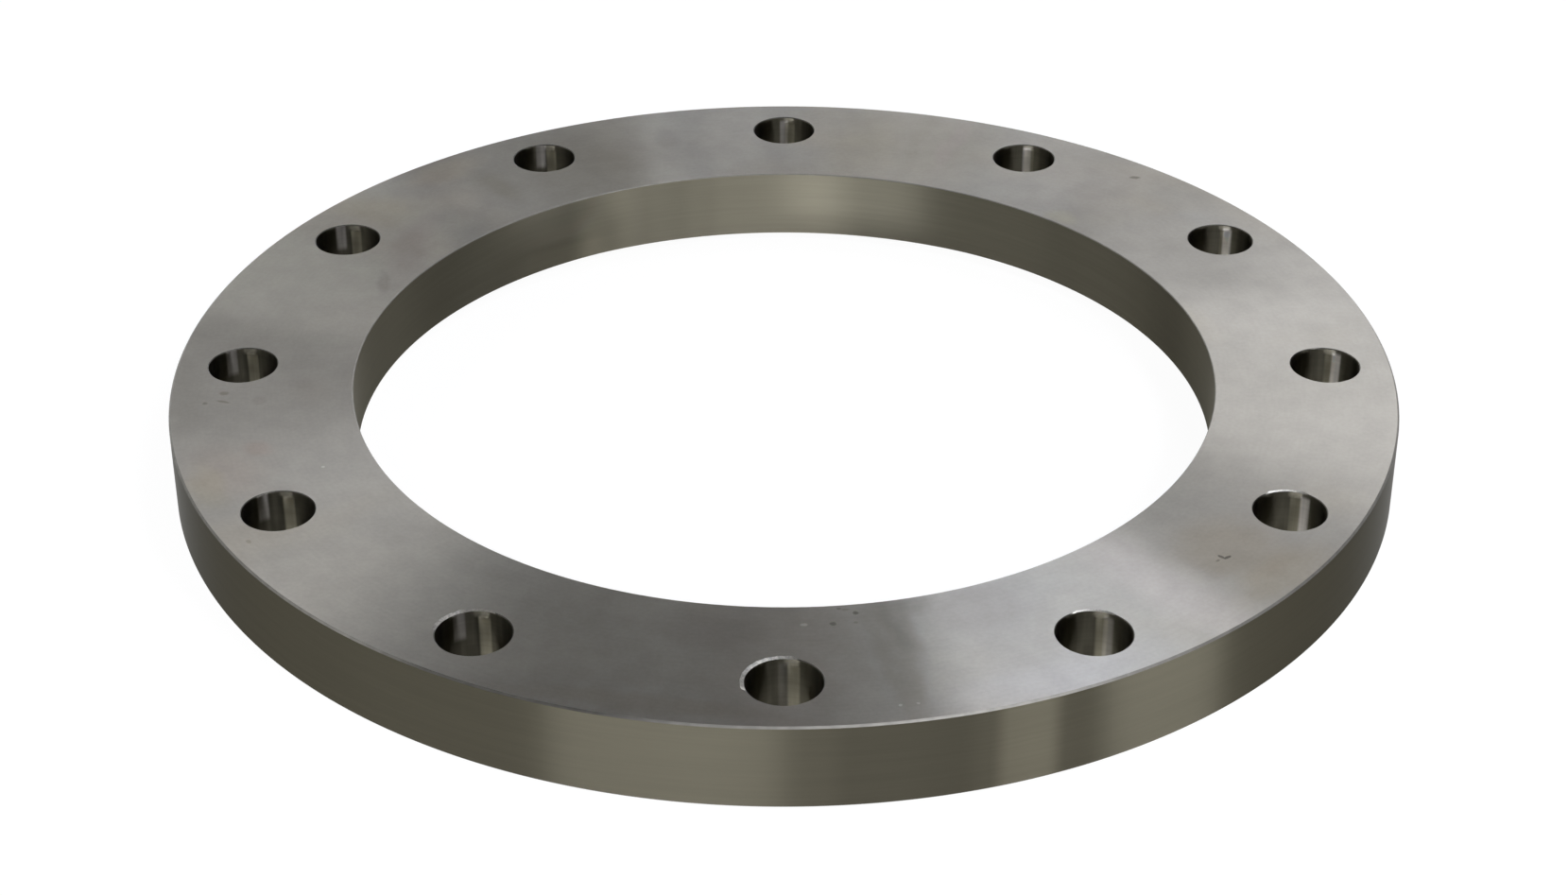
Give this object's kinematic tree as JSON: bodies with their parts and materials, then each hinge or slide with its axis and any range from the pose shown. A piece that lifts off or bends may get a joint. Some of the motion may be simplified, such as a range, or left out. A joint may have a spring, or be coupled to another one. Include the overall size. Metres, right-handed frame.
{
  "type": "plate flange",
  "caption": "Flat ring-shaped steel pipe flange with a wide plain bore, a circle of bolt holes and a weld bevel round the bore at its back face.",
  "frame": {"origin": "centre of the bore in the plane of the back face, at the foot of the part", "axes": "+Z along the bore axis, out of the gasket face; +X through a bolt hole"},
  "size_m": [0.4599, 0.46, 0.032],
  "materials": {
    "steel": "satin, faced and turned bare steel with fine tool marks round the axis"
  },
  "bodies": {
    "root": {"plate_flange": "steel"}
  },
  "joints": []
}
